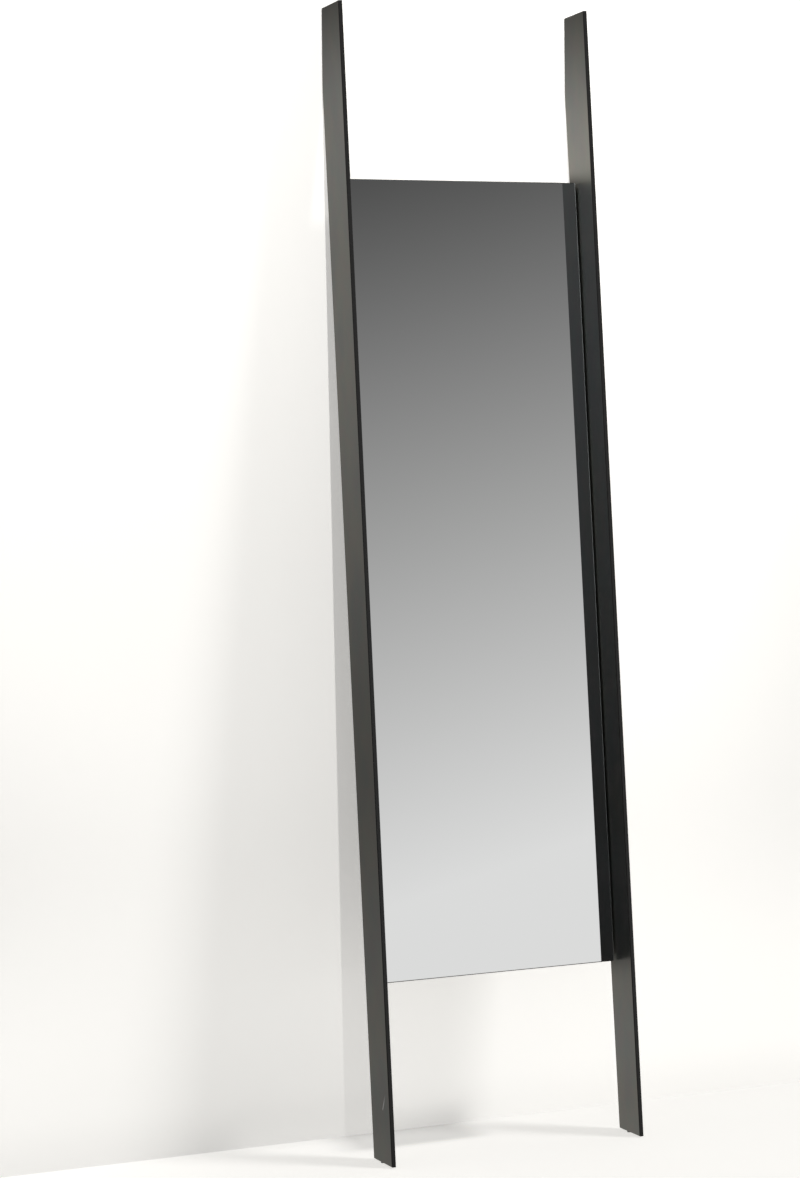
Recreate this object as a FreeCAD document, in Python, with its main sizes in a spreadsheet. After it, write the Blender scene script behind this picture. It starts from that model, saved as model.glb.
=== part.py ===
# A full-length mirror that stands on the floor and leans on a wall.
# Two flat steel bars, set on edge and tapering to their feet, carry a frameless sheet of mirror.
# The frame: X across the mirror, Y from the room to the wall, Z up, origin on the floor under the middle.
import FreeCAD, Part
import math
import os
import Sketcher

from FreeCAD import Placement, Rotation, Vector

doc = FreeCAD.newDocument("leaning_mirror")

# Driving dimensions, in millimetres, and degrees for the lean.
sizes = {
    # how the mirror stands
    "lean": 5,
    # the two uprights: plate on edge, measured along the front edge and across the lean.
    # The depth is that of the foot, and the top depth that of the top before its corner is cut plumb.
    "upright_length": 2000,
    "upright_depth": 74,
    "upright_top_depth": 86,
    "upright_thickness": 8,
    "upright_edge_radius": 1.5,
    "clear_width": 472,
    "wall_flat": 140,
    # the sheet of mirror, from the foot of the uprights and behind their front edges
    "glass_start": 303,
    "glass_height": 1394,
    "glass_setback": 56,
    "glass_thickness": 4,
    "glass_side_gap": 3,
    "glass_seam": 1.4,
    # the tape that bonds it to the board
    "tape_thickness": 1,
    "tape_width": 30,
    "tape_side_inset": 25,
    "tape_end_inset": 40,
    # the board behind it
    "board_thickness": 8,
    "board_side_clearance": 1.3,
    "board_end_inset": 10,
    # the angle cleats that hang the board on the uprights
    "cleat_thickness": 2.5,
    "cleat_length": 70,
    "cleat_side_leg": 11,
    "cleat_back_leg": 45,
    "cleat_bend_radius": 1,
    "cleat_corner_cut": 6,
    "cleat_end_inset": 140,
    "cleat_screw_pitch": 40,
    "cleat_screw_line": 28,
    # the pan-head screws, short enough to stop inside the uprights and the board
    "screw_diameter": 4,
    "screw_length": 8,
    "screw_head_diameter": 7.5,
    "screw_head_height": 2.2,
    "screw_clearance": 0.2,
    "thread_clearance": 0.05,
    "blind_end_clearance": 0.5,
    # the button glides under the uprights
    "glide_diameter": 7,
    "glide_height": 2,
    "glide_stem_diameter": 4,
    "glide_stem_length": 10,
    "glide_setback": 46,
    # the rubber strips between the uprights and the wall
    "bumper_width": 5,
    "bumper_length": 100,
    "bumper_thickness": 1.5,
}

sheet = doc.addObject("Spreadsheet::Sheet", "Sizes")
for row, (alias, value) in enumerate(sizes.items(), start=1):
    sheet.set(f"A{row}", alias)
    sheet.set(f"B{row}", str(value))
    sheet.setAlias(f"B{row}", alias)
doc.recompute()

TAPE_STRIPS = 5
NEAR = 0.01
SIDES = {"left": -1, "right": 1}

# Formulas that several pieces share.
LEAN = "(Sizes.lean * 1 deg)"
INNER_FACE = "(Sizes.clear_width / 2)"
UPRIGHT_MIDDLE = f"({INNER_FACE} + Sizes.upright_thickness / 2)"
FOOT_REAR = f"(Sizes.upright_depth * tan{LEAN})"
TAPER = f"((Sizes.upright_top_depth - Sizes.upright_depth) / (Sizes.upright_length - {FOOT_REAR}))"
FLAT_START = f"(Sizes.upright_length - Sizes.wall_flat * cos{LEAN})"
FLAT_DEPTH = f"(Sizes.upright_top_depth - {TAPER} * Sizes.wall_flat * cos{LEAN})"
TOP_DEPTH = f"({FLAT_DEPTH} - Sizes.wall_flat * sin{LEAN})"
REACH = f"({TOP_DEPTH} * cos{LEAN} + Sizes.upright_length * sin{LEAN})"
FOOT_Y = f"(-({REACH} + Sizes.bumper_thickness) / 2)"
GLASS_TOP = "(Sizes.glass_start + Sizes.glass_height)"
TAPE_FRONT = "(Sizes.glass_setback + Sizes.glass_thickness)"
BOARD_FRONT = f"({TAPE_FRONT} + Sizes.tape_thickness)"
BOARD_BACK = f"({BOARD_FRONT} + Sizes.board_thickness)"
CLEAT_BACK = f"({BOARD_BACK} + Sizes.cleat_thickness)"
SCREW_REACH = "(Sizes.screw_length - Sizes.cleat_thickness)"
SCREW_HOLE_RADIUS = "(Sizes.screw_diameter / 2 + Sizes.thread_clearance)"
SIDE_FLAT_END = "(Sizes.cleat_thickness + Sizes.cleat_bend_radius)"
SIDE_SCREW_DEPTH = f"({CLEAT_BACK} - (Sizes.cleat_side_leg + {SIDE_FLAT_END}) / 2)"
BOARD_SCREW_X = f"({INNER_FACE} - Sizes.cleat_screw_line)"
BOARD_EDGE = (
    f"({INNER_FACE} - Sizes.cleat_thickness - Sizes.screw_head_height - Sizes.board_side_clearance)"
)

# Heights of the cleats along the uprights, and of the two board screws of each about its middle.
CLEAT_STATIONS = {
    "bottom": "(Sizes.glass_start + Sizes.cleat_end_inset)",
    "middle": "(Sizes.glass_start + Sizes.glass_height / 2)",
    "top": f"({GLASS_TOP} - Sizes.cleat_end_inset)",
}
SCREW_OFFSETS = ("-Sizes.cleat_screw_pitch / 2", "Sizes.cleat_screw_pitch / 2")
BOARD_SCREW_STATIONS = [
    f"({station} + {offset})" for station in CLEAT_STATIONS.values() for offset in SCREW_OFFSETS
]


def new_body(label):
    body = doc.addObject("PartDesign::Body", label)
    body.Label = label
    return body


def new_sketch(body, name, plane):
    """A sketch on one of the body's own origin planes."""
    sketch = body.newObject("Sketcher::SketchObject", name)
    support = next(item for item in body.Origin.OriginFeatures if item.Role == plane)
    sketch.AttachmentSupport = [(support, "")]
    sketch.MapMode = "FlatFace"
    return sketch


def polygon(sketch, corners):
    """A closed outline, drawn roughly and then pulled to the formulas of its corners."""
    count = len(corners)
    rough = [Vector(math.cos(math.tau * i / count), math.sin(math.tau * i / count)) for i in range(count)]
    first = sketch.GeometryCount
    for i in range(count):
        sketch.addGeometry(Part.LineSegment(rough[i], rough[(i + 1) % count]), False)
    for i in range(count):
        sketch.addConstraint(Sketcher.Constraint("Coincident", first + i, 2, first + (i + 1) % count, 1))
    for i, (across, along) in enumerate(corners):
        for kind, value, formula in (("DistanceX", rough[i].x, across), ("DistanceY", rough[i].y, along)):
            index = sketch.addConstraint(Sketcher.Constraint(kind, first + i, 1, value))
            sketch.setExpression(f"Constraints[{index}]", formula)


def circle(sketch, across, along, radius):
    """A circle, drawn roughly and then pulled to the formulas of its centre and radius."""
    item = sketch.addGeometry(Part.Circle(Vector(1, 1, 0), Vector(0, 0, 1), 1), False)
    for kind, formula in (("DistanceX", across), ("DistanceY", along)):
        index = sketch.addConstraint(Sketcher.Constraint(kind, item, 3, 1))
        sketch.setExpression(f"Constraints[{index}]", formula)
    index = sketch.addConstraint(Sketcher.Constraint("Radius", item, 1))
    sketch.setExpression(f"Constraints[{index}]", radius)


def pad(body, sketch, length, reverse=False, midplane=False):
    feature = body.newObject("PartDesign::Pad", f"{sketch.Name}_pad")
    feature.Profile = sketch
    feature.setExpression("Length", length)
    feature.Reversed = reverse
    feature.Midplane = midplane
    return feature


def pocket(body, sketch, depth, reverse):
    feature = body.newObject("PartDesign::Pocket", f"{sketch.Name}_pocket")
    feature.Profile = sketch
    feature.setExpression("Length", depth)
    feature.Reversed = reverse
    return feature


def edges_at(feature, test):
    """Names of the feature's edges whose every corner passes the test."""
    return [
        f"Edge{number}"
        for number, edge in enumerate(feature.Shape.Edges, start=1)
        if all(test(corner.X, corner.Y, corner.Z) for corner in edge.Vertexes)
    ]


def round_off(body, name, base, edges, radius):
    feature = body.newObject("PartDesign::Fillet", name)
    feature.Base = (base, edges)
    feature.setExpression("Radius", radius)
    doc.recompute()
    return feature


def stand(piece, across="0", depth="0", along="0"):
    """Places a piece by its place on the mirror before it leans, measured from the foot's front corner."""
    piece.Placement = Placement(Vector(), Rotation(Vector(-1, 0, 0), sizes["lean"]))
    piece.setExpression("Placement.Rotation.Angle", LEAN)
    piece.setExpression("Placement.Base.x", across)
    piece.setExpression("Placement.Base.y", f"{FOOT_Y} + ({depth}) * cos{LEAN} + ({along}) * sin{LEAN}")
    piece.setExpression(
        "Placement.Base.z", f"Sizes.glide_height + ({along}) * cos{LEAN} - ({depth}) * sin{LEAN}"
    )


def set_upright(piece, across, back, up):
    """Places a piece that stands square to the floor and the wall."""
    piece.setExpression("Placement.Base.x", across)
    piece.setExpression("Placement.Base.y", back)
    piece.setExpression("Placement.Base.z", up)


def make_upright(label, side):
    """One tapered bar: mitred to the floor, square on top, its top rear corner cut plumb for the wall."""
    body = new_body(label)
    profile = new_sketch(body, f"{label}_profile", "YZ_Plane")
    polygon(
        profile,
        [
            ("0", "0"),
            ("Sizes.upright_depth", FOOT_REAR),
            (FLAT_DEPTH, FLAT_START),
            (TOP_DEPTH, "Sizes.upright_length"),
            ("0", "Sizes.upright_length"),
        ],
    )
    bar = pad(body, profile, "Sizes.upright_thickness", midplane=True)
    doc.recompute()

    outline = edges_at(bar, lambda x, y, z: x > 0) + edges_at(bar, lambda x, y, z: x < 0)
    round_off(body, f"{label}_eased_edges", bar, outline, "Sizes.upright_edge_radius")

    holes = new_sketch(body, f"{label}_cleat_holes", "YZ_Plane")
    holes.setExpression("AttachmentOffset.Base.z", f"{-side} * Sizes.upright_thickness / 2")
    for station in CLEAT_STATIONS.values():
        circle(holes, SIDE_SCREW_DEPTH, station, SCREW_HOLE_RADIUS)
    pocket(body, holes, f"{SCREW_REACH} + Sizes.blind_end_clearance", reverse=side > 0)

    foot = new_sketch(body, f"{label}_glide_hole", "XY_Plane")
    foot.AttachmentOffset = Placement(Vector(), Rotation(Vector(1, 0, 0), sizes["lean"]))
    foot.setExpression("AttachmentOffset.Rotation.Angle", LEAN)
    circle(foot, "0", "Sizes.glide_setback", "Sizes.glide_stem_diameter / 2 + Sizes.thread_clearance")
    pocket(body, foot, "Sizes.glide_stem_length + Sizes.blind_end_clearance", reverse=True)

    stand(body, f"{side} * {UPRIGHT_MIDDLE}")
    return body


def make_glass():
    """The sheet of mirror, with every edge seamed so that it is safe to handle."""
    half_width = f"({INNER_FACE} - Sizes.glass_side_gap)"
    body = new_body("mirror_glass")
    outline = new_sketch(body, "glass_outline", "XZ_Plane")
    polygon(
        outline,
        [
            (f"-{half_width}", "0"),
            (half_width, "0"),
            (half_width, "Sizes.glass_height"),
            (f"-{half_width}", "Sizes.glass_height"),
        ],
    )
    sheet_of_glass = pad(body, outline, "Sizes.glass_thickness", reverse=True)
    doc.recompute()

    seam = body.newObject("PartDesign::Chamfer", "glass_seamed_edges")
    seam.Base = (sheet_of_glass, [f"Edge{n}" for n in range(1, len(sheet_of_glass.Shape.Edges) + 1)])
    seam.setExpression("Size", "Sizes.glass_seam")
    stand(body, depth="Sizes.glass_setback", along="Sizes.glass_start")
    return body


def make_tape(number):
    """One upright strip of double-sided mirror tape between the glass and the board."""
    strip = doc.addObject("Part::Box", f"mirror_tape_{number}")
    strip.Label = strip.Name
    strip.setExpression("Length", "Sizes.tape_width")
    strip.setExpression("Width", "Sizes.tape_thickness")
    strip.setExpression("Height", "Sizes.glass_height - 2 * Sizes.tape_end_inset")
    outermost = f"({BOARD_EDGE} - Sizes.tape_side_inset - Sizes.tape_width / 2)"
    share = 2 * (number - 1) / (TAPE_STRIPS - 1) - 1
    stand(
        strip,
        f"{share} * {outermost} - Sizes.tape_width / 2",
        TAPE_FRONT,
        "Sizes.glass_start + Sizes.tape_end_inset",
    )
    return strip


def make_board():
    """The board behind the glass, drilled from the back for the screws of the cleats."""
    low = "Sizes.board_end_inset"
    high = "(Sizes.glass_height - Sizes.board_end_inset)"
    body = new_body("backing_board")
    outline = new_sketch(body, "board_outline", "XZ_Plane")
    polygon(
        outline, [(f"-{BOARD_EDGE}", low), (BOARD_EDGE, low), (BOARD_EDGE, high), (f"-{BOARD_EDGE}", high)]
    )
    pad(body, outline, "Sizes.board_thickness", reverse=True)

    holes = new_sketch(body, "board_screw_holes", "XZ_Plane")
    holes.setExpression("AttachmentOffset.Base.z", "-Sizes.board_thickness")
    for side in SIDES.values():
        for station in BOARD_SCREW_STATIONS:
            circle(holes, f"{side} * {BOARD_SCREW_X}", f"{station} - Sizes.glass_start", SCREW_HOLE_RADIUS)
    pocket(body, holes, f"{SCREW_REACH} + Sizes.blind_end_clearance", reverse=True)
    stand(body, depth=BOARD_FRONT, along="Sizes.glass_start")
    return body


def make_cleat(label, side, station):
    """An angle cleat: one leg on the upright's inner face, the other across the back of the board."""
    body = new_body(label)
    section = new_sketch(body, f"{label}_section", "XY_Plane")
    wall = "Sizes.cleat_thickness"
    polygon(
        section,
        [
            ("0", "0"),
            ("0", "-Sizes.cleat_side_leg"),
            (f"{-side} * {wall}", "-Sizes.cleat_side_leg"),
            (f"{-side} * {wall}", f"-{wall}"),
            (f"{-side} * Sizes.cleat_back_leg", f"-{wall}"),
            (f"{-side} * Sizes.cleat_back_leg", "0"),
        ],
    )
    angle = pad(body, section, "Sizes.cleat_length", midplane=True)
    doc.recompute()

    outer_bend = f"{wall} + Sizes.cleat_bend_radius"
    outside = edges_at(angle, lambda x, y, z: abs(x) < NEAR and abs(y) < NEAR)
    bent = round_off(body, f"{label}_outer_bend", angle, outside, outer_bend)
    inner_y = -sizes["cleat_thickness"]
    inside = edges_at(bent, lambda x, y, z: abs(abs(x) + inner_y) < NEAR and abs(y - inner_y) < NEAR)
    bent = round_off(body, f"{label}_inner_bend", bent, inside, "Sizes.cleat_bend_radius")
    free_x = sizes["cleat_back_leg"]
    low_corner = edges_at(bent, lambda x, y, z: abs(abs(x) - free_x) < NEAR and z < 0)
    high_corner = edges_at(bent, lambda x, y, z: abs(abs(x) - free_x) < NEAR and z > 0)
    clipped = body.newObject("PartDesign::Chamfer", f"{label}_corners")
    clipped.Base = (bent, low_corner + high_corner)
    clipped.setExpression("Size", "Sizes.cleat_corner_cut")

    side_holes = new_sketch(body, f"{label}_side", "YZ_Plane")
    side_holes.setExpression("AttachmentOffset.Base.z", f"{-side} * {wall}")
    back_holes = new_sketch(body, f"{label}_back", "XZ_Plane")
    loose_radius = "Sizes.screw_diameter / 2 + Sizes.screw_clearance"
    circle(side_holes, f"{SIDE_SCREW_DEPTH} - {CLEAT_BACK}", "0", loose_radius)
    for offset in SCREW_OFFSETS:
        circle(back_holes, f"{-side} * Sizes.cleat_screw_line", offset, loose_radius)
    pocket(body, side_holes, wall, reverse=side > 0)
    pocket(body, back_holes, wall, reverse=True)
    stand(body, f"{side} * {INNER_FACE}", CLEAT_BACK, station)
    return body


def make_profile(name, corners):
    """A half section in the XZ plane, to be turned about Z."""
    profile = doc.addObject("Sketcher::SketchObject", name)
    profile.Placement = Placement(Vector(), Rotation(Vector(1, 0, 0), 90))
    polygon(profile, corners)
    return profile


def turned(name, profile):
    piece = doc.addObject("Part::Revolution", name)
    piece.Source = profile
    piece.Axis = Vector(0, 0, 1)
    piece.Angle = 360
    piece.Solid = True
    return piece


def make_set(label, profile, seats):
    """Like turned pieces in one node. Each seat is a turn and the formulas of a place before the lean."""
    pieces = []
    for number, (turn, place) in enumerate(seats, start=1):
        piece = turned(f"{label}_{number}", profile)
        piece.Placement = Placement(Vector(), turn)
        for axis, formula in zip("xyz", place):
            piece.setExpression(f"Placement.Base.{axis}", formula)
        pieces.append(piece)
    group = doc.addObject("Part::Compound", label)
    group.Label = label
    group.Links = pieces
    stand(group)
    return group


# The screws are turned about Z, head up, with the underside of the head at the origin.
screw_profile = make_profile(
    "screw_profile",
    [
        ("0", "Sizes.screw_head_height"),
        ("Sizes.screw_head_diameter / 2", "Sizes.screw_head_height"),
        ("Sizes.screw_head_diameter / 2", "0"),
        ("Sizes.screw_diameter / 2", "0"),
        ("Sizes.screw_diameter / 2", "-Sizes.screw_length"),
        ("0", "-Sizes.screw_length"),
    ],
)
HEAD_TO_WALL = Rotation(Vector(1, 0, 0), -90)
HEAD_TO_MIDDLE = {-1: Rotation(Vector(0, 1, 0), 90), 1: Rotation(Vector(0, 1, 0), -90)}


def make_screws():
    """Screws from the cleats into the uprights, and from the cleats into the board."""
    head_seat = f"({INNER_FACE} - Sizes.cleat_thickness)"
    upright_seats = [
        (HEAD_TO_MIDDLE[side], (f"{side} * {head_seat}", SIDE_SCREW_DEPTH, station))
        for side in SIDES.values()
        for station in CLEAT_STATIONS.values()
    ]
    board_seats = [
        (HEAD_TO_WALL, (f"{side} * {BOARD_SCREW_X}", CLEAT_BACK, station))
        for side in SIDES.values()
        for station in BOARD_SCREW_STATIONS
    ]
    return [
        make_set("upright_screws", screw_profile, upright_seats),
        make_set("board_screws", screw_profile, board_seats),
    ]


glide_profile = make_profile(
    "glide_profile",
    [
        ("0", "-Sizes.glide_height"),
        ("Sizes.glide_diameter / 2", "-Sizes.glide_height"),
        ("Sizes.glide_diameter / 2", "0"),
        ("Sizes.glide_stem_diameter / 2", "0"),
        ("Sizes.glide_stem_diameter / 2", "Sizes.glide_stem_length"),
        ("0", "Sizes.glide_stem_length"),
    ],
)


def make_glide(label, side):
    """A button glide, its stem pushed up into the foot of the upright."""
    glide = turned(label, glide_profile)
    glide.Label = label
    set_upright(glide, f"{side} * {UPRIGHT_MIDDLE}", f"{FOOT_Y} + Sizes.glide_setback", "Sizes.glide_height")
    return glide


def make_bumper(label, side):
    """A thin strip of rubber, stuck on the plumb flat where the upright meets the wall."""
    bumper = doc.addObject("Part::Box", label)
    bumper.Label = label
    bumper.setExpression("Length", "Sizes.bumper_width")
    bumper.setExpression("Width", "Sizes.bumper_thickness")
    bumper.setExpression("Height", "Sizes.bumper_length")
    flat_middle = f"(Sizes.upright_length * cos{LEAN} - {TOP_DEPTH} * sin{LEAN} - Sizes.wall_flat / 2)"
    set_upright(
        bumper,
        f"{side} * {UPRIGHT_MIDDLE} - Sizes.bumper_width / 2",
        f"{FOOT_Y} + {REACH}",
        f"Sizes.glide_height + {flat_middle} - Sizes.bumper_length / 2",
    )
    return bumper


pieces = [make_glass(), make_board()]
pieces += [make_tape(number) for number in range(1, TAPE_STRIPS + 1)]
for side_name, side_sign in SIDES.items():
    pieces.append(make_upright(f"{side_name}_upright", side_sign))
    pieces.append(make_glide(f"{side_name}_glide", side_sign))
    pieces.append(make_bumper(f"{side_name}_wall_bumper", side_sign))
    for place, height in CLEAT_STATIONS.items():
        pieces.append(make_cleat(f"{side_name}_{place}_cleat", side_sign, height))
pieces += make_screws()

doc.recompute()
for item in doc.Objects:
    if {"Invalid", "Error"} & set(item.State):
        raise RuntimeError(f"{item.Label} failed: {item.State}")
for piece in pieces:
    if piece.Shape.isNull() or not piece.Shape.isValid():
        raise RuntimeError(f"{piece.Label} has no valid shape")

os.makedirs("parts", exist_ok=True)
for piece in pieces:
    piece.Shape.exportStep(f"parts/{piece.Label}.step")
    box = piece.Shape.BoundBox
    print(
        f"{piece.Label}: {len(piece.Shape.Solids)} solid(s), {piece.Shape.Volume:.1f} mm3, "
        f"X {box.XMin:.2f} to {box.XMax:.2f}, Y {box.YMin:.2f} to {box.YMax:.2f}, "
        f"Z {box.ZMin:.2f} to {box.ZMax:.2f}"
    )
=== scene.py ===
import math

import bpy
from mathutils import Euler, Matrix, Vector


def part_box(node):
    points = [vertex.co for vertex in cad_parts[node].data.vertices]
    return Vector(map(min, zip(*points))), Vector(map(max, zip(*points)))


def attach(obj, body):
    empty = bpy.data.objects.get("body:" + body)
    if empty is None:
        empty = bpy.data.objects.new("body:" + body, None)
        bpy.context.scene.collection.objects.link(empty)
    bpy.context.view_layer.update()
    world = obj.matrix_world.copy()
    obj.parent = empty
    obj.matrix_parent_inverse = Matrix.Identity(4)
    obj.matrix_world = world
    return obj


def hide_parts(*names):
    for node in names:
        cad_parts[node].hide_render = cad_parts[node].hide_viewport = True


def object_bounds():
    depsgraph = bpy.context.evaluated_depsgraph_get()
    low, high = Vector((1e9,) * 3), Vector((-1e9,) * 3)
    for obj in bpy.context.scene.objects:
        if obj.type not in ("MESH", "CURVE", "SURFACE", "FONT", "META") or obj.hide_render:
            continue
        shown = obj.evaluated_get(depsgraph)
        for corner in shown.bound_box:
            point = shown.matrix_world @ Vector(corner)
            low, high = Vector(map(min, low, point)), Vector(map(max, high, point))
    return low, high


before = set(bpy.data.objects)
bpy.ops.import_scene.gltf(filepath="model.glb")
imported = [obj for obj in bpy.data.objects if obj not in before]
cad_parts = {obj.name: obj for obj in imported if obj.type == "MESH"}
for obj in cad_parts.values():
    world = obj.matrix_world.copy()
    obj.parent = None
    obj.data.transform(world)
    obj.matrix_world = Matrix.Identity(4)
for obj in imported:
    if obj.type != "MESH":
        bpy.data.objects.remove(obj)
cad_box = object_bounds()
bpy.ops.object.select_all(action="DESELECT")

# The uprights are two bars cut from hot-rolled steel plate, set on edge and leaning on the wall.
# They taper to the floor, are cut plumb for the wall and square on top, and are eased all round.
# Blackened and waxed, their faces are a faintly mottled slate grey. The front edges are painted nearly
# black and the eased edges darker, as painted shade.
LEAN = math.radians(5)
FOOT_CLEARANCE = 0.002
FOOT = Vector((0, cad_box[0].y, FOOT_CLEARANCE))
OUTER_FACE = cad_box[1].x
STEEL_WARM = (0.233, 0.227, 0.207, 1)
STEEL_COOL = (0.198, 0.204, 0.209, 1)
STEEL_OLIVE = (0.206, 0.222, 0.193, 1)
STEEL_BROWN = (0.242, 0.220, 0.202, 1)
# painted shade for the edges, nearly black
STEEL_EDGE_SHADE = (0.020, 0.0195, 0.019, 1)
STEEL_RUBBED = (0.86, 0.86, 0.87, 1)
UPRIGHT_LENGTH = 2.0
FOOT_DEPTH = 0.074
TOP_DEPTH = 0.086
WALL_FLAT_START = 1.8605
EDGE_ROUND = 0.0015
FRONT_BLACK_TO = 0.000825
FRONT_FADED_AT = 0.001425
FACE_INSET = 0.001
MILL_GRAIN = 0.00006
RUB_START = Vector((0.0275, 0.0940))
RUB_END = Vector((0.0140, 0.1226))
RUB_WIDTH = 0.0019
RUB_FULL_SHARE = 0.3


class Wire:
    """An output socket of a node tree. Sums on wires add Math nodes, and node() adds any other node."""

    def __init__(self, tree, socket=None):
        self.tree = tree
        self.socket = socket

    def node(self, kind, settings, sockets, output=0):
        made = self.tree.nodes.new(kind)
        for name, setting in settings.items():
            if name == "stops":
                elements = made.color_ramp.elements
                made.color_ramp.interpolation = "EASE"
                for position, level in setting:
                    elements.new(position).color = (level, level, level, 1)
                elements.remove(elements[0])
                elements.remove(elements[-1])
            else:
                setattr(made, name, setting)
        for name, given in sockets.items():
            if isinstance(given, Wire):
                self.tree.links.new(given.socket, made.inputs[name])
            else:
                made.inputs[name].default_value = given
        return Wire(self.tree, made.outputs[output] if made.outputs else None)

    def math(self, operation, *terms):
        return self.node("ShaderNodeMath", {"operation": operation}, dict(enumerate(terms)))

    def __add__(self, other):
        return self.math("ADD", self, other)

    __radd__ = __add__

    def __sub__(self, other):
        return self.math("SUBTRACT", self, other)

    def __rsub__(self, other):
        return self.math("SUBTRACT", other, self)

    def __mul__(self, other):
        return self.math("MULTIPLY", self, other)

    __rmul__ = __mul__

    def __pow__(self, other):
        return self.math("POWER", self, other)

    def __abs__(self):
        return self.math("ABSOLUTE", self)

    def rise(self, low, high):
        """0 below low, 1 above high, and a smooth step between."""
        settings = {"interpolation_type": "SMOOTHSTEP"}
        sockets = {"Value": self, "From Min": low, "From Max": high}
        return self.node("ShaderNodeMapRange", settings, sockets)

    def blend(self, first, second):
        """The first colour where this wire is 0, and the second where it is 1."""
        sockets = {0: self, 6: first, 7: second}
        return self.node("ShaderNodeMix", {"data_type": "RGBA"}, sockets, output=2)

    def stretched(self, across, through, along):
        """The place with each axis scaled, to draw a pattern out along the axes that shrink."""
        settings = {"operation": "MULTIPLY"}
        return self.node("ShaderNodeVectorMath", settings, {0: self, 1: (across, through, along)})

    def noise(self, scale, detail, roughness=0.5):
        sockets = {"Vector": self, "Scale": scale, "Detail": detail, "Roughness": roughness}
        return self.node("ShaderNodeTexNoise", {}, sockets)

    def axes(self):
        """The three parts of a vector."""
        split = self.node("ShaderNodeSeparateXYZ", {}, {"Vector": self}).socket.node
        return [Wire(self.tree, part) for part in split.outputs]


def new_finish(name):
    """A material with no nodes, and a wire to start them from."""
    material = bpy.data.materials.new(name)
    material.use_nodes = True
    material.node_tree.nodes.clear()
    return material, Wire(material.node_tree)


def before_lean(start):
    """Places on the mirror before it leans: across, back from the front edges, and up from the feet."""
    unturned = Euler((LEAN, 0, 0)).to_matrix() @ Vector((0, FOOT.y, FOOT.z))
    place = start.node("ShaderNodeTexCoord", {}, {}, output="Object")
    sockets = {"Vector": place, "Location": -unturned, "Rotation": (LEAN, 0, 0)}
    return start.node("ShaderNodeMapping", {}, sockets)


def bumpy(start, height, distance):
    """A normal from a height of 0 to 1, where 1 stands this distance in metres off the surface."""
    sockets = {"Height": height, "Distance": distance, "Strength": 1.0}
    return start.node("ShaderNodeBump", {}, sockets)


def show(start, sockets):
    """Ends a finish with one principled shader."""
    shader = start.node("ShaderNodeBsdfPrincipled", {}, sockets)
    start.node("ShaderNodeOutputMaterial", {}, {"Surface": shader})


def dress(node_names, material):
    """Puts a finish on solids that keep their own shape."""
    for name in node_names:
        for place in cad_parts[name].material_slots:
            place.material = material


def blackened_steel():
    material, start = new_finish("blackened_steel")
    place = before_lean(start)
    across, back, up = place.axes()
    clouds = place.stretched(1, 1, 0.45).noise(16, 4, 0.55)
    patches = place.noise(5.5, 2)
    smudges = place.stretched(1, 1, 0.7).noise(46, 3, 0.6)
    rolled = place.stretched(1, 1, 0.05).noise(240, 3)
    specks = place.noise(620, 2)

    # a light rub on the left bar's outer face, near the floor
    rub = RUB_END - RUB_START
    rub_along = rub.normalized()
    from_line = abs((back - RUB_START.x) * rub_along.y - (up - RUB_START.y) * rub_along.x)
    along_line = (back - RUB_START.x) * rub_along.x + (up - RUB_START.y) * rub_along.y
    fading_out = along_line.rise(rub.length * RUB_FULL_SHARE, rub.length)
    in_length = along_line.rise(-RUB_WIDTH, RUB_WIDTH) * (1 - fading_out)
    on_left_face = 1 - across.rise(-OUTER_FACE, -OUTER_FACE + FACE_INSET)
    rubbed = (1 - from_line.rise(0, RUB_WIDTH)) * in_length * on_left_face * specks.rise(0.2, 0.45)

    # painted shade: the eased edges are darker, the front one most of all
    tapered = FOOT_DEPTH + up * ((TOP_DEPTH - FOOT_DEPTH) / UPRIGHT_LENGTH)
    rear_line = tapered - start.math("MAXIMUM", up - WALL_FLAT_START, 0) * math.tan(LEAN)
    to_end = start.math("MINIMUM", up - back * math.tan(LEAN), UPRIGHT_LENGTH - up)
    to_edge = start.math("MINIMUM", rear_line - back, to_end)
    eased = (1 - to_edge.rise(0, EDGE_ROUND)) * 0.6
    front_edge = 1 - back.rise(FRONT_BLACK_TO, FRONT_FADED_AT)
    tint = smudges.rise(0.36, 0.64).blend(STEEL_OLIVE, STEEL_BROWN)
    face = (0.35 + patches * 0.2).blend(clouds.rise(0.35, 0.65).blend(STEEL_WARM, STEEL_COOL), tint)
    painted_edge_shade = start.math("MAXIMUM", front_edge, eased)
    colour = rubbed.blend(painted_edge_shade.blend(face, STEEL_EDGE_SHADE), STEEL_RUBBED)
    roughness = 0.22 + patches * 0.09 + clouds * 0.08 + smudges * 0.08 + specks * 0.05 + rubbed * 0.2
    show(
        start,
        {
            "Base Color": colour,
            "Metallic": 1 - front_edge * 0.6,
            "Roughness": roughness,
            "Normal": bumpy(start, rolled * 0.6 + specks * 0.4, MILL_GRAIN),
        },
    )
    return material


steel = blackened_steel()
dress(["left_upright", "right_upright"], steel)

# The mirror is one sheet of float glass, silvered on its back and frameless, with every edge seamed.
# The sides are ground matt and catch the light as a thin grey line, and the ends are coloured darker.
# Grey paint protects the silver behind, and the sheet hangs from the board on its tape.
GLASS_FRONT = 0.056
GLASS_BACK = 0.060
GLASS_SEAM = 0.0014
GLASS_HALF_WIDTH = 0.233
SILVER_FADE = (0.00003, 0.00008)
PAINT_FADE = (0.00012, 0.00003)
SEAM_FADE = 0.0001
PAINT_PEEL = 0.00008
SILVER = (0.90, 0.905, 0.90, 1)
GROUND_GLASS = (0.76, 0.82, 0.80, 1)
DARK_END_GLASS = (0.012, 0.014, 0.014, 1)
BACK_PAINT_LIGHT = (0.20, 0.205, 0.21, 1)
BACK_PAINT_DARK = (0.15, 0.155, 0.16, 1)


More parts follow.
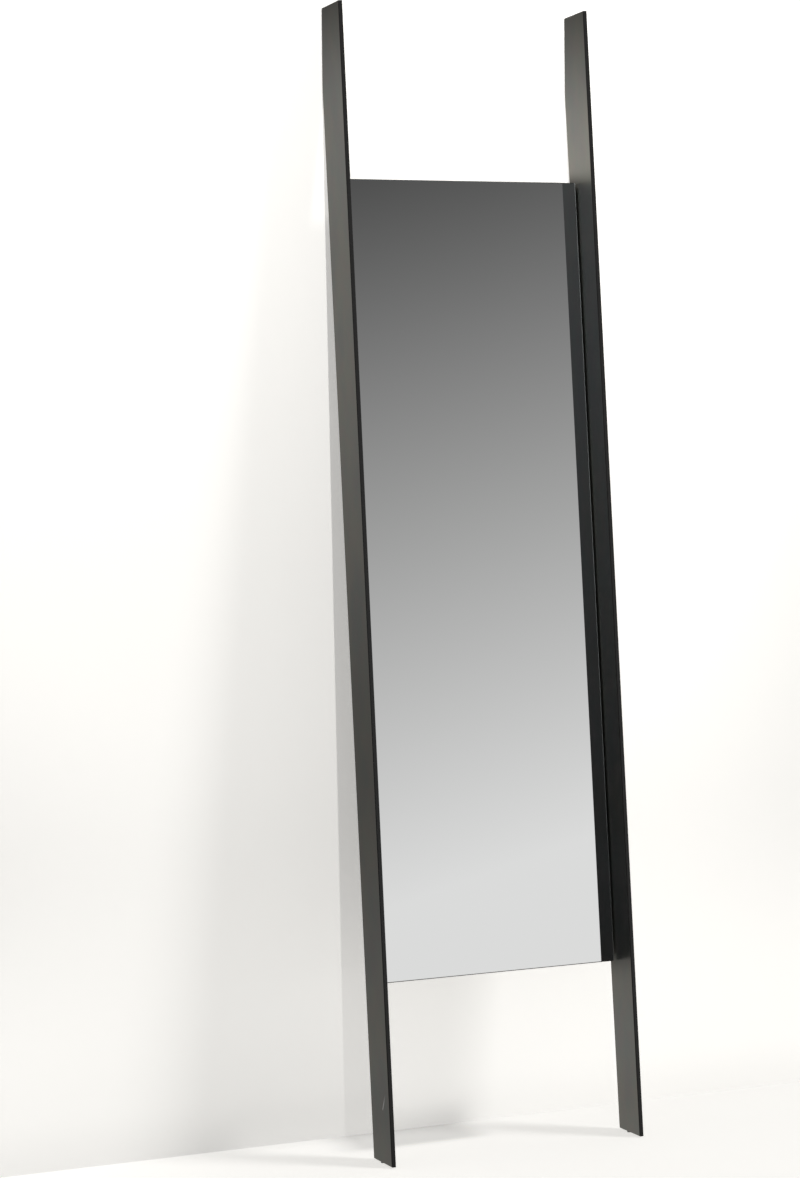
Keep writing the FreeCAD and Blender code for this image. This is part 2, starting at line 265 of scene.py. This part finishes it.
def silvered_glass():
    material, start = new_finish("silvered_glass")
    place = before_lean(start)
    across, back = place.axes()[:2]
    off_front = back.rise(GLASS_FRONT + SILVER_FADE[0], GLASS_FRONT + SILVER_FADE[1])
    painted = back.rise(GLASS_BACK - PAINT_FADE[0], GLASS_BACK - PAINT_FADE[1])
    seam_start = GLASS_HALF_WIDTH - GLASS_SEAM
    at_side = abs(across).rise(seam_start, seam_start + SEAM_FADE)
    frost = place.noise(1500, 3)
    paint_flow = place.noise(7, 5, 0.6)
    orange_peel = place.noise(520, 2)

    # the end seams are coloured nearly black
    edge = at_side.blend(DARK_END_GLASS, GROUND_GLASS)
    paint = paint_flow.rise(0.3, 0.7).blend(BACK_PAINT_LIGHT, BACK_PAINT_DARK)
    colour = painted.blend(off_front.blend(SILVER, edge), paint)
    roughness = off_front * (0.42 + frost * 0.16)
    show(
        start,
        {
            "Base Color": colour,
            "Metallic": 1 - off_front,
            "Roughness": roughness,
            "Normal": bumpy(start, orange_peel * painted, PAINT_PEEL),
        },
    )
    return material


dress(["mirror_glass"], silvered_glass())

# Five upright strips of foam tape bond the glass to the board.
# They are pale closed-cell foam with an adhesive on both faces, pressed on by hand.
FOAM_PALE = (0.62, 0.62, 0.60, 1)
FOAM_PORE_SHADE = (0.40, 0.40, 0.385, 1)
PORES_PER_METRE = 2600
PORE_DEPTH = 0.00012
TAPE_COUNT = 5


def foam_tape():
    material, start = new_finish("foam_tape")
    place = before_lean(start)
    cells = start.node("ShaderNodeTexVoronoi", {}, {"Vector": place, "Scale": PORES_PER_METRE})
    pores = cells.rise(0.25, 0.6)
    # painted shade: the pores are darker, as shade inside them
    colour = pores.blend(FOAM_PORE_SHADE, FOAM_PALE)
    show(start, {"Base Color": colour, "Roughness": 0.86, "Normal": bumpy(start, pores, PORE_DEPTH)})
    return material


dress([f"mirror_tape_{number}" for number in range(1, TAPE_COUNT + 1)], foam_tape())

# The backing board is fibreboard, dyed dark right through, that the glass hangs on.
# It is sawn a little smaller than the glass, so that it hides behind it. Its faces are pressed smooth,
# with fine fibres in them, and its sawn edges are rougher and dusty.
BOARD_FRONT = 0.061
BOARD_BACK = 0.069
SAWN_FADE = 0.0002
FIBRE_GRAIN = 0.00005
BOARD_DARK = (0.052, 0.050, 0.047, 1)
BOARD_FIBRE = (0.125, 0.117, 0.106, 1)
BOARD_EDGE = (0.115, 0.108, 0.098, 1)


def dyed_fibreboard():
    material, start = new_finish("dyed_fibreboard")
    place = before_lean(start)
    back = place.axes()[1]
    fibres = place.stretched(1, 1, 0.22).noise(820, 4, 0.7)
    cross_fibres = place.stretched(0.22, 1, 1).noise(760, 4, 0.7)
    clouds = place.noise(6, 4)
    threads = (fibres.rise(0.56, 0.74) + cross_fibres.rise(0.58, 0.76)) * 0.5
    behind_front = back.rise(BOARD_FRONT, BOARD_FRONT + SAWN_FADE)
    sawn = behind_front * (1 - back.rise(BOARD_BACK - SAWN_FADE, BOARD_BACK))
    face = (threads * 0.8 + clouds.rise(0.3, 0.75) * 0.22).blend(BOARD_DARK, BOARD_FIBRE)
    colour = (sawn * (0.4 + threads * 0.6)).blend(face, BOARD_EDGE)
    roughness = 0.52 + clouds * 0.14 + threads * 0.12 + sawn * 0.2
    show(
        start,
        {
            "Base Color": colour,
            "Roughness": roughness,
            "Normal": bumpy(start, fibres + cross_fibres, FIBRE_GRAIN),
        },
    )
    return material


dress(["backing_board"], dyed_fibreboard())

# Six angle cleats hang the board on the uprights, one leg on the bar and the other across the back.
# Each is bent from blackened steel strip, with its free corners clipped.
cleats = [f"{side}_{place}_cleat" for side in ("left", "right") for place in ("bottom", "middle", "top")]
dress(cleats, steel)

# Eighteen pan-head screws fix the cleats: one each into the upright and two each into the board.
# They are turned and cross-recessed, short enough to stop inside, and blackened by an oxide bath.
SCREW_HEAD_RADIUS = 0.00375
SCREW_HEAD_HEIGHT = 0.0022
SCREW_HEAD_ROUND = 0.0012
SCREW_RADIUS = 0.002
SCREW_LENGTH = 0.008
SCREW_POINT = 0.0014
SCREW_POINT_SHARE = 0.35
RECESS_LENGTH = 0.0040
RECESS_WIDTH = 0.0010
RECESS_DEPTH = 0.0014
RECESS_TAPER = 0.62
RECESS_TURNS = (math.radians(20), math.radians(110))
OXIDE_GRAIN = 0.00003
OXIDE_BLACK = (0.032, 0.031, 0.030, 1)
OXIDE_WORN = (0.13, 0.125, 0.118, 1)
UPRIGHT_SCREW_SEAT = 0.2335
UPRIGHT_SCREW_BACK = 0.06425
BOARD_SCREW_ACROSS = 0.208
BOARD_SCREW_SEAT = 0.0715
BOARD_SCREW_PITCH = 0.040
CLEAT_HEIGHTS = (0.443, 1.000, 1.557)
HAND_TURN_UPRIGHT = 0.7
HAND_TURN_BOARD = 1.1
HAND_TURN_PER_METRE = 9


def select_faces(piece, test):
    """Selects the faces in edit mode whose middle and normal pass the test."""
    bpy.ops.object.mode_set(mode="OBJECT")
    for face in piece.data.polygons:
        face.select = bool(test(face.center, face.normal))
    for edge in piece.data.edges:
        edge.select = False
    for corner in piece.data.vertices:
        corner.select = False
    bpy.ops.object.mode_set(mode="EDIT")
    bpy.ops.mesh.select_mode(type="FACE")


def recess_cutter(turn):
    """One bar of the cross recess: a short tapered bar, as long as the recess is wide."""
    depth = RECESS_DEPTH * 2
    bpy.ops.mesh.primitive_cube_add(size=1, location=(0, 0, SCREW_HEAD_HEIGHT), rotation=(0, 0, turn))
    bar = bpy.context.object
    bar.scale = (RECESS_LENGTH, RECESS_WIDTH, depth)
    bpy.ops.object.transform_apply(location=True, rotation=True, scale=True)
    bpy.ops.object.mode_set(mode="EDIT")
    select_faces(bar, lambda middle, normal: normal.z < -0.5)
    bpy.ops.transform.resize(value=(RECESS_TAPER, RECESS_TAPER, 1))
    bpy.ops.object.mode_set(mode="OBJECT")
    return bar


def pan_head_screw():
    """One screw, head up, with the underside of its head at the origin."""
    bpy.ops.mesh.primitive_cylinder_add(
        vertices=40,
        radius=SCREW_HEAD_RADIUS,
        depth=SCREW_HEAD_HEIGHT,
        location=(0, 0, SCREW_HEAD_HEIGHT / 2),
    )
    screw = bpy.context.object
    bpy.ops.object.transform_apply(location=True, rotation=True, scale=True)
    bpy.ops.object.mode_set(mode="EDIT")
    select_faces(screw, lambda middle, normal: normal.z > 0.5)
    bpy.ops.mesh.region_to_loop()
    bpy.ops.mesh.bevel(
        offset=SCREW_HEAD_ROUND,
        offset_type="OFFSET",
        segments=6,
        profile=0.55,
        affect="EDGES",
    )
    select_faces(screw, lambda middle, normal: normal.z < -0.5)
    bpy.ops.mesh.inset(thickness=SCREW_HEAD_RADIUS - SCREW_RADIUS, depth=0)
    straight = SCREW_LENGTH - SCREW_POINT
    bpy.ops.mesh.extrude_region_move(TRANSFORM_OT_translate={"value": (0, 0, -straight)})
    bpy.ops.mesh.extrude_region_move(TRANSFORM_OT_translate={"value": (0, 0, -SCREW_POINT)})
    bpy.ops.transform.resize(value=(SCREW_POINT_SHARE, SCREW_POINT_SHARE, 1))
    bpy.ops.object.mode_set(mode="OBJECT")
    for turn in RECESS_TURNS:
        bar = recess_cutter(turn)
        cut = screw.modifiers.new("recess", "BOOLEAN")
        cut.object = bar
        cut.operation = "DIFFERENCE"
        cut.solver = "EXACT"
        bpy.context.view_layer.objects.active = screw
        bpy.ops.object.modifier_apply(modifier=cut.name)
        bpy.data.objects.remove(bar)
    return screw


def black_oxide():
    material, start = new_finish("black_oxide")
    place = before_lean(start)
    clouds = place.noise(420, 3)
    specks = place.noise(2400, 2)
    colour = clouds.rise(0.55, 0.8).blend(OXIDE_BLACK, OXIDE_WORN)
    show(
        start,
        {
            "Base Color": colour,
            "Metallic": 1.0,
            "Roughness": 0.3 + clouds * 0.15,
            "Normal": bumpy(start, specks, OXIDE_GRAIN),
        },
    )
    return material


def leaned(across, back, up):
    """A point of the part from its place before the lean."""
    return Vector((
        across,
        FOOT.y + back * math.cos(LEAN) + up * math.sin(LEAN),
        FOOT.z + up * math.cos(LEAN) - back * math.sin(LEAN),
    ))


def copy_to(pattern, name, seat, turn):
    """A copy of a piece with its own mesh, turned before the lean and moved to its seat."""
    piece = pattern.copy()
    piece.data = pattern.data.copy()
    piece.name = name
    bpy.context.scene.collection.objects.link(piece)
    piece.matrix_world = Matrix.Translation(seat) @ Matrix.Rotation(-LEAN, 4, "X") @ turn
    bpy.ops.object.select_all(action="DESELECT")
    piece.select_set(True)
    bpy.context.view_layer.objects.active = piece
    bpy.ops.object.transform_apply(location=True, rotation=True, scale=True)
    bpy.ops.object.shade_smooth_by_angle(angle=math.radians(32))
    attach(piece, "root")
    return piece


screw_pattern = pan_head_screw()
screw_pattern.data.materials.append(black_oxide())
head_to_wall = Matrix.Rotation(math.radians(-90), 4, "X")
for side, sign in (("left", -1), ("right", 1)):
    head_to_middle = Matrix.Rotation(math.radians(-90 * sign), 4, "Y")
    for number, height in enumerate(CLEAT_HEIGHTS, start=1):
        turned = head_to_middle @ Matrix.Rotation(HAND_TURN_UPRIGHT * number, 4, "Z")
        seat = leaned(sign * UPRIGHT_SCREW_SEAT, UPRIGHT_SCREW_BACK, height)
        screw = copy_to(screw_pattern, f"{side}_upright_screw_{number}", seat, turned)
        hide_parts("upright_screws")
        for end, offset in (("low", -BOARD_SCREW_PITCH / 2), ("high", BOARD_SCREW_PITCH / 2)):
            hand_turn = HAND_TURN_BOARD * number + HAND_TURN_PER_METRE * offset
            turned = head_to_wall @ Matrix.Rotation(hand_turn, 4, "Z")
            seat = leaned(sign * BOARD_SCREW_ACROSS, BOARD_SCREW_SEAT, height + offset)
            screw = copy_to(screw_pattern, f"{side}_board_screw_{number}_{end}", seat, turned)
            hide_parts("board_screws")
bpy.data.objects.remove(screw_pattern)

# A button glide keeps each bar's sawn foot off the floor.
# It is moulded from pale nylon, with a rounded rim, a slight dish and a stem pushed up into the bar.
GLIDE_RADIUS = 0.0035
GLIDE_HEIGHT = 0.002
GLIDE_RIM = 0.0007
GLIDE_DISH = 0.0002
GLIDE_TREAD_SHARE = 0.7
GLIDE_DISH_SHARE = 0.8
NYLON_GRAIN = 0.00003
GLIDE_STEM_RADIUS = 0.002
GLIDE_STEM_LENGTH = 0.010
GLIDE_STEM_TIP_SHARE = 0.7
NYLON_PALE = (0.66, 0.65, 0.60, 1)
NYLON_DULL = (0.55, 0.54, 0.50, 1)


def moulded_nylon():
    material, start = new_finish("moulded_nylon")
    place = before_lean(start)
    clouds = place.noise(500, 3)
    colour = clouds.rise(0.35, 0.7).blend(NYLON_PALE, NYLON_DULL)
    show(
        start,
        {
            "Base Color": colour,
            "Roughness": 0.42 + clouds * 0.16,
            "Normal": bumpy(start, place.noise(3000, 2), NYLON_GRAIN),
        },
    )
    return material


def button_glide(name, across, back):
    """A button standing on the floor, dished below, with its stem on top."""
    bpy.ops.mesh.primitive_cylinder_add(
        vertices=48,
        radius=GLIDE_RADIUS,
        depth=GLIDE_HEIGHT,
        location=(across, back, GLIDE_HEIGHT / 2),
    )
    glide = bpy.context.object
    glide.name = name
    bpy.ops.object.transform_apply(location=True, rotation=True, scale=True)
    bpy.ops.object.mode_set(mode="EDIT")
    select_faces(glide, lambda middle, normal: normal.z < -0.5)
    bpy.ops.mesh.region_to_loop()
    bpy.ops.mesh.bevel(offset=GLIDE_RIM, offset_type="OFFSET", segments=5, profile=0.5, affect="EDGES")
    select_faces(glide, lambda middle, normal: middle.z < 0.00001)
    bpy.ops.mesh.extrude_region_move()
    bpy.ops.transform.resize(value=(GLIDE_TREAD_SHARE, GLIDE_TREAD_SHARE, 1))
    bpy.ops.mesh.extrude_region_move(TRANSFORM_OT_translate={"value": (0, 0, GLIDE_DISH)})
    bpy.ops.transform.resize(value=(GLIDE_DISH_SHARE, GLIDE_DISH_SHARE, 1))
    select_faces(glide, lambda middle, normal: normal.z > 0.5)
    bpy.ops.mesh.extrude_region_move()
    stem_share = GLIDE_STEM_RADIUS / GLIDE_RADIUS
    bpy.ops.transform.resize(value=(stem_share, stem_share, 1))
    straight = GLIDE_STEM_LENGTH - GLIDE_RIM
    bpy.ops.mesh.extrude_region_move(TRANSFORM_OT_translate={"value": (0, 0, straight)})
    bpy.ops.mesh.extrude_region_move(TRANSFORM_OT_translate={"value": (0, 0, GLIDE_RIM)})
    bpy.ops.transform.resize(value=(GLIDE_STEM_TIP_SHARE, GLIDE_STEM_TIP_SHARE, 1))
    bpy.ops.object.mode_set(mode="OBJECT")
    bpy.ops.object.shade_smooth_by_angle(angle=math.radians(40))
    return glide


nylon = moulded_nylon()
for side in ("left", "right"):
    low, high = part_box(f"{side}_glide")
    bpy.ops.object.select_all(action="DESELECT")
    glide = button_glide(f"{side}_button_glide", (low.x + high.x) / 2, (low.y + high.y) / 2)
    glide.data.materials.append(nylon)
    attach(glide, "root")
    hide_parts(f"{side}_glide")

# A strip of black rubber on each bar's plumb flat grips the wall and keeps the steel off it.
# It is extruded with fine ribs along it, cut to length and stuck on.
RIB_COUNT = 4
RIB_HEIGHT = 0.0005
RIB_ROUND = 0.00012
RIB_DRAFT = (0.985, 1, 0.999)
RUBBER_GRAIN = 0.00004
RUBBER_BLACK = (0.017, 0.017, 0.017, 1)
RUBBER_DUSTY = (0.045, 0.044, 0.042, 1)


def extruded_rubber():
    material, start = new_finish("extruded_rubber")
    place = before_lean(start)
    dust = place.noise(160, 4, 0.6)
    grain = place.stretched(1, 1, 0.1).noise(2600, 2)
    colour = dust.rise(0.5, 0.8).blend(RUBBER_BLACK, RUBBER_DUSTY)
    show(
        start,
        {
            "Base Color": colour,
            "Roughness": 0.62 + dust * 0.2,
            "Normal": bumpy(start, grain, RUBBER_GRAIN),
        },
    )
    return material


def ribbed_strip(name, low, high):
    """A strip that fills the box between two corners, with its ribs on the wall side."""
    middle = (low + high) / 2
    size = high - low
    bpy.ops.mesh.primitive_cube_add(size=1, location=(middle.x, middle.y - RIB_HEIGHT / 2, middle.z))
    strip = bpy.context.object
    strip.name = name
    strip.scale = (size.x, size.y - RIB_HEIGHT, size.z)
    bpy.ops.object.transform_apply(location=True, rotation=True, scale=True)
    bands = 2 * RIB_COUNT + 1
    for band in range(1, bands):
        cut_at = low.x + size.x * band / bands
        bpy.ops.object.mode_set(mode="EDIT")
        bpy.ops.mesh.select_all(action="SELECT")
        bpy.ops.mesh.bisect(plane_co=(cut_at, 0, 0), plane_no=(1, 0, 0))
    wall_side = high.y - RIB_HEIGHT
    pitch = size.x / bands

    def on_rib(face_middle, normal):
        return abs(face_middle.y - wall_side) < 1e-5 and int((face_middle.x - low.x) / pitch) % 2 == 1

    select_faces(strip, on_rib)
    bpy.ops.mesh.extrude_region_move(TRANSFORM_OT_translate={"value": (0, RIB_HEIGHT, 0)})
    bpy.ops.transform.resize(value=RIB_DRAFT)
    bpy.ops.object.mode_set(mode="OBJECT")
    rounding = strip.modifiers.new("rounded", "BEVEL")
    rounding.width = RIB_ROUND
    rounding.segments = 2
    bpy.ops.object.modifier_apply(modifier=rounding.name)
    bpy.ops.object.shade_smooth_by_angle(angle=math.radians(40))
    return strip


rubber = extruded_rubber()
for side in ("left", "right"):
    bpy.ops.object.select_all(action="DESELECT")
    strip = ribbed_strip(f"{side}_rubber_strip", *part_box(f"{side}_wall_bumper"))
    strip.data.materials.append(rubber)
    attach(strip, "root")
    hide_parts(f"{side}_wall_bumper")

# The stage is a pale floor and a white wall for the mirror to lean on.
# The wall is clear from behind, so that the back of the mirror shows. In the gloss of the steel it shows
# a
# painted reflection: a glow with painted shade where the mirror covers it, brightest above the mirror
# and on the right.
# The floor and wall also carry painted light and painted shade in the lift that the viewer sees.
WALL_PLANE = cad_box[1].y
STAGE_SIZE = 14.0
WALL_WHITE = (0.80, 0.785, 0.755, 1)
WALL_GLOW = (1.0, 0.983, 0.945, 1)
WALL_GLOSS_TOP = 2.2
WALL_GLOSS_LOW = ((0.0, 0.34), (0.05, 0.37), (0.11, 0.337), (0.28, 0.24))
WALL_GLOSS_HIGH = ((0.69, 0.524), (0.79, 0.625), (0.94, 0.128))
WALL_GLOSS_MORE_RIGHT = 0.6
WALL_GLOSS_MORE_TOP_LEFT = 0.45
RIGHT_HALF = (-0.3, 0.2)
COVERED_WIDTH = (0.236, 0.25)
COVERED_FROM = (0.245, 0.285)
COVERED_TO = (1.675, 1.715)
COVERED_GLOSS_SHADE = 0.97
WALL_LIFT = 0.35
WALL_LIFT_HIGH = 0.05
WALL_LIFT_OFF_FLOOR = 0.064
WALL_LIFT_LOW = 0.12
WALL_LIFT_UNDER_MIRROR = 0.15
WALL_LIFT_FAR_LEFT = 0.06
WALL_CORNER_SHADE = 0.14
FLOOR_WHITE = (0.42, 0.414, 0.402, 1)
FLOOR_LIFT = 0.70
FLOOR_LIFT_FAR_LEFT = 0.12
FLOOR_SHADE = 0.25
FLOOR_SHADE_FROM_WALL = (0.13, 0.09)
FLOOR_IN_GLOSS = 0.385
FLOOR_GLOSS_MORE_RIGHT = 0.4
FLOOR_GLOSS_ENDS = (-1.3, -0.5)


def stage_plane(name, place, turn, material):
    bpy.ops.object.select_all(action="DESELECT")
    bpy.ops.mesh.primitive_plane_add(size=STAGE_SIZE, location=place, rotation=turn)
    bpy.ops.object.transform_apply(location=True, rotation=True, scale=True)
    plane = bpy.context.object
    plane.name = name
    plane.data.materials.append(material)


def lifted(start, colour, lift):
    """Matt paint that the viewer sees a little whiter than the lamps make it."""
    matt = start.node("ShaderNodeBsdfDiffuse", {}, {"Color": colour})
    seen = start.node("ShaderNodeLightPath", {}, {}, output="Is Camera Ray")
    glow = start.node("ShaderNodeEmission", {}, {"Color": WALL_GLOW, "Strength": seen * lift})
    return start.node("ShaderNodeAddShader", {}, {0: matt, 1: glow})


def stage_show(start, seen, level, far=0):
    """The seen shader, but in anything glossy a plain glow of this level that clears far off."""
    clear = start.node("ShaderNodeBsdfTransparent", {}, {})
    glow = start.node("ShaderNodeEmission", {}, {"Color": WALL_GLOW, "Strength": level})
    gloss = start.node("ShaderNodeMixShader", {}, {0: far, 1: glow, 2: clear})
    in_gloss = start.node("ShaderNodeLightPath", {}, {}, output="Is Glossy Ray")
    front = start.node("ShaderNodeMixShader", {}, {0: in_gloss, 1: seen, 2: gloss})
    behind = start.node("ShaderNodeNewGeometry", {}, {}, output="Backfacing")
    shown = start.node("ShaderNodeMixShader", {}, {0: behind, 1: front, 2: clear})
    start.node("ShaderNodeOutputMaterial", {}, {"Surface": shown})


def floor_white():
    material, start = new_finish("floor_white")
    across, back = start.node("ShaderNodeTexCoord", {}, {}, output="Object").axes()[:2]
    # painted shade on the floor by the wall between the bars, and painted light far to the left
    by_wall = back.rise(WALL_PLANE - FLOOR_SHADE_FROM_WALL[0], WALL_PLANE - FLOOR_SHADE_FROM_WALL[1])
    shaded = by_wall * across.rise(-0.3, -0.2) * (1 - across.rise(-0.04, 0.04))
    far_left = 1 - across.rise(-0.9, -0.4)
    lift = FLOOR_LIFT - shaded * FLOOR_SHADE + far_left * FLOOR_LIFT_FAR_LEFT
    # painted reflection: the floor's glow in the gloss, brighter on the right
    level = FLOOR_IN_GLOSS * (1 + across.rise(*RIGHT_HALF) * FLOOR_GLOSS_MORE_RIGHT)
    stage_show(start, lifted(start, FLOOR_WHITE, lift), level, far=1 - back.rise(*FLOOR_GLOSS_ENDS))
    return material


def wall_white():
    """The gloss stops are shares of the wall's lit height, each with its level."""
    material, start = new_finish("wall_white")
    across, up = start.node("ShaderNodeTexCoord", {}, {}, output="Object").axes()[::2]
    stops = WALL_GLOSS_LOW + WALL_GLOSS_HIGH
    by_height = start.node("ShaderNodeValToRGB", {"stops": stops}, {"Fac": up * (1 / WALL_GLOSS_TOP)})
    covered_height = up.rise(*COVERED_FROM) * (1 - up.rise(*COVERED_TO))
    # painted shade in the gloss glow, where the mirror covers the wall
    covered_painted_shade = (1 - abs(across).rise(*COVERED_WIDTH)) * covered_height
    top_left = (1 - across.rise(-0.35, -0.15)) * up.rise(1.75, 1.92)
    by_side = 1 + across.rise(*RIGHT_HALF) * WALL_GLOSS_MORE_RIGHT + top_left * WALL_GLOSS_MORE_TOP_LEFT
    level = by_height * by_side * (1 - covered_painted_shade * COVERED_GLOSS_SHADE)

    # painted light in the lift: more high up, off the floor, low down, right of the left bar and far
    # left; painted shade in the corner
    high = up.rise(0.9, 1.9)
    off_floor = up.rise(0, 0.1)
    low = 1 - up.rise(0.15, 0.6)
    under_mirror = across.rise(-0.175, -0.12)
    corner = (1 - up.rise(0, 0.06)) * under_mirror * (1 - across.rise(-0.02, 0.05))
    far_left = 1 - across.rise(-0.9, -0.5)
    lift = WALL_LIFT + high * WALL_LIFT_HIGH + off_floor * WALL_LIFT_OFF_FLOOR + low * WALL_LIFT_LOW
    lift = lift + under_mirror * WALL_LIFT_UNDER_MIRROR - corner * WALL_CORNER_SHADE
    lift = lift + far_left * low * WALL_LIFT_FAR_LEFT
    stage_show(start, lifted(start, WALL_WHITE, lift), level)
    return material


stage_plane("floor", (0, WALL_PLANE - STAGE_SIZE / 2, 0), (0, 0, 0), floor_white())
stage_plane("wall", (0, WALL_PLANE, STAGE_SIZE / 2), (math.radians(90), 0, 0), wall_white())

# The light is a small high spotlight that fades towards the floor, a wide lamp from the right and
# a dim room. The room is dark on the left, and on the right it falls off from a bright horizon
# to a dark ceiling, which is what the mirror shows.
FRONT_LAMP_PLACE = Vector((-0.62, -2.4, 4.9))
FRONT_LAMP_TOWARDS = Vector((0.1, 1, -1))
FRONT_LAMP_POWER = 560
FRONT_LAMP_RADIUS = 0.03
FRONT_LAMP_CONE = math.radians(39)
FRONT_LAMP_SOFT_EDGE = 0.5
RIGHT_LAMP_TOWARDS = Vector((1.5, -1.0, 1.9))
RIGHT_LAMP_STRENGTH = 1.6
RIGHT_LAMP_ANGLE = math.radians(12)
ROOM_PARTING = (-0.05, 0.16)
ROOM_PARTING_TURN = 0.20
HORIZON_LEVEL = 0.889
HORIZON_FALL = 1.94
HORIZON_CURVE = 2.58
HORIZON_SLOPE = 0.58
HORIZON_MIDDLE = 0.43
RIGHT_ROOM_RANGE = (0.25, 0.894)
RIGHT_ROOM_TINT = (1, 1, 1)
LEFT_ROOM_LEVEL = 0.099
LEFT_ROOM_RISE = 2.2
LEFT_ROOM_RANGE = (0.085, 0.57)
LEFT_ROOM_TINT = (1, 1.05, 1.14)
SCREEN_GAMMA = 2.2
ROOM_SEEN = (1, 1, 1, 1)

front_light = bpy.data.lights.new("front_lamp", "SPOT")
front_light.energy = FRONT_LAMP_POWER
front_light.shadow_soft_size = FRONT_LAMP_RADIUS
front_light.spot_size = FRONT_LAMP_CONE
front_light.spot_blend = FRONT_LAMP_SOFT_EDGE
front_lamp = bpy.data.objects.new("front_lamp", front_light)
front_lamp.location = FRONT_LAMP_PLACE
front_lamp.rotation_euler = FRONT_LAMP_TOWARDS.to_track_quat("-Z", "Y").to_euler()
front_lamp.visible_glossy = False
bpy.context.scene.collection.objects.link(front_lamp)

right_light = bpy.data.lights.new("right_lamp", "SUN")
right_light.energy = RIGHT_LAMP_STRENGTH
right_light.angle = RIGHT_LAMP_ANGLE
right_lamp = bpy.data.objects.new("right_lamp", right_light)
right_lamp.rotation_euler = RIGHT_LAMP_TOWARDS.to_track_quat("Z", "Y").to_euler()
bpy.context.scene.collection.objects.link(right_lamp)


def room_light(level, least_and_most, tint):
    """A colour of light from a level as a screen shows it, kept in a range and tinted."""
    least, most = least_and_most
    kept = level.math("MINIMUM", level.math("MAXIMUM", level, least), most) ** SCREEN_GAMMA
    channels = {number: kept * share for number, share in enumerate(tint)}
    return level.node("ShaderNodeCombineColor", {}, channels)


def dim_room():
    world = bpy.data.worlds.new("dim_room")
    world.use_nodes = True
    world.node_tree.nodes.clear()
    start = Wire(world.node_tree)
    towards = start.node("ShaderNodeTexCoord", {}, {}, output="Generated")
    across, back, up = towards.axes()
    on_left = 1 - (across - back * ROOM_PARTING_TURN).rise(*ROOM_PARTING)
    by_height = HORIZON_LEVEL - up * HORIZON_FALL - up * up * HORIZON_CURVE
    horizon = by_height + (across - HORIZON_MIDDLE) * HORIZON_SLOPE
    right_room = room_light(horizon, RIGHT_ROOM_RANGE, RIGHT_ROOM_TINT)
    left_room = room_light(LEFT_ROOM_LEVEL + up * LEFT_ROOM_RISE, LEFT_ROOM_RANGE, LEFT_ROOM_TINT)
    room = on_left.blend(right_room, left_room)
    seen = start.node("ShaderNodeLightPath", {}, {}, output="Is Camera Ray")
    shown = start.node("ShaderNodeBackground", {}, {"Color": seen.blend(room, ROOM_SEEN)})
    start.node("ShaderNodeOutputWorld", {}, {"Surface": shown})
    bpy.context.scene.world = world


dim_room()

# The viewer stands to the left of the mirror, a little over five metres away, with a long lens.
# The lens is shifted down, so that the camera stays nearly level and takes in the whole height.
VIEWER_PLACE = Vector((-2.48796, -5.00404, 1.34636))
VIEWER_YAW = 0.43582
VIEWER_PITCH = 0.02075
VIEWER_ROLL = 0.0100
PICTURE_HEIGHT = 1178
FOCAL_PIXELS = 3186.5
HORIZON_PIXEL = 440
SENSOR = 36.0

lens = bpy.data.cameras.new("viewer")
lens.sensor_fit = "AUTO"
lens.sensor_width = SENSOR
lens.lens = FOCAL_PIXELS / PICTURE_HEIGHT * SENSOR
lens.shift_y = (HORIZON_PIXEL - PICTURE_HEIGHT / 2) / PICTURE_HEIGHT
viewer = bpy.data.objects.new("viewer", lens)
bpy.context.scene.collection.objects.link(viewer)
viewer.matrix_world = (
    Matrix.Translation(VIEWER_PLACE)
    @ Matrix.Rotation(-VIEWER_YAW, 4, "Z")
    @ Matrix.Rotation(math.radians(90) - VIEWER_PITCH, 4, "X")
    @ Matrix.Rotation(-VIEWER_ROLL, 4, "Z")
)
bpy.context.scene.camera = viewer
bpy.context.scene.view_settings.view_transform = "Standard"
